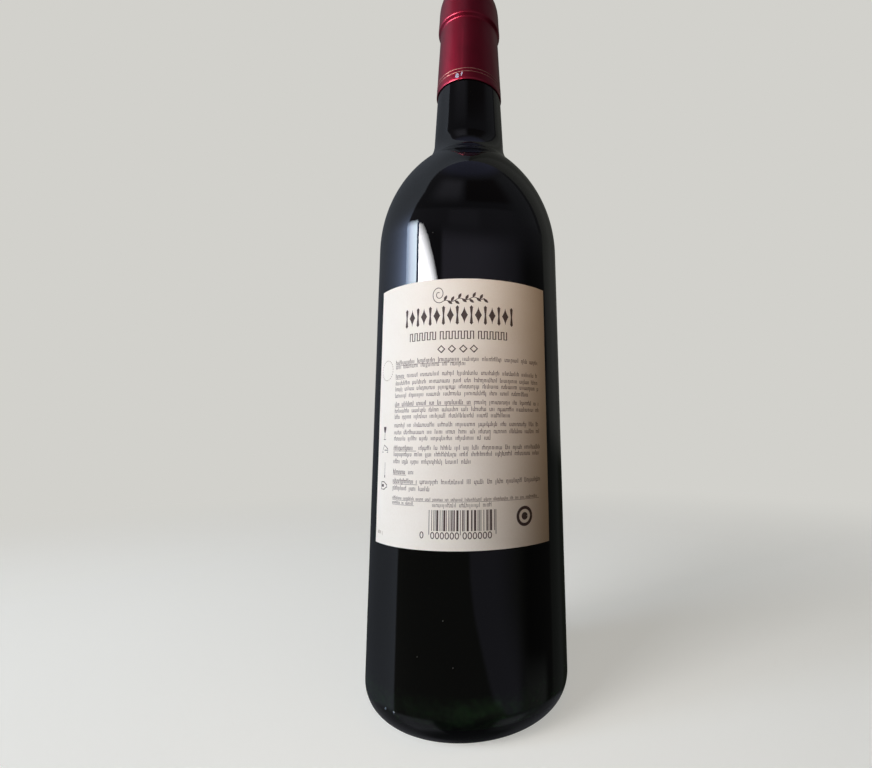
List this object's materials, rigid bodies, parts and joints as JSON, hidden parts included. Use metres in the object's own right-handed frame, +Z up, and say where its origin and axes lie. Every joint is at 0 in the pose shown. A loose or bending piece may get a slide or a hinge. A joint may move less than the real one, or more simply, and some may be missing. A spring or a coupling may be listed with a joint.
{
  "type": "wine bottle",
  "caption": "Full wine bottle of dark green glass with high round shoulders, a punt in its base, a foil capsule over the mouth and a paper back label.",
  "frame": {"origin": "centre of the base, on the plane that the bottle stands on", "axes": "+Z up along the bottle's axis, the back label faces -Y"},
  "size_m": [0.075, 0.0755, 0.3007],
  "materials": {
    "glass": "polished, dark green",
    "wine": "still liquid, deep red",
    "capsule": "burgundy lacquer over foil, satin",
    "label": "cream uncoated paper"
  },
  "bodies": {
    "root": {"glass": "glass", "wine": "wine", "capsule": "capsule", "label": "label"}
  },
  "joints": []
}
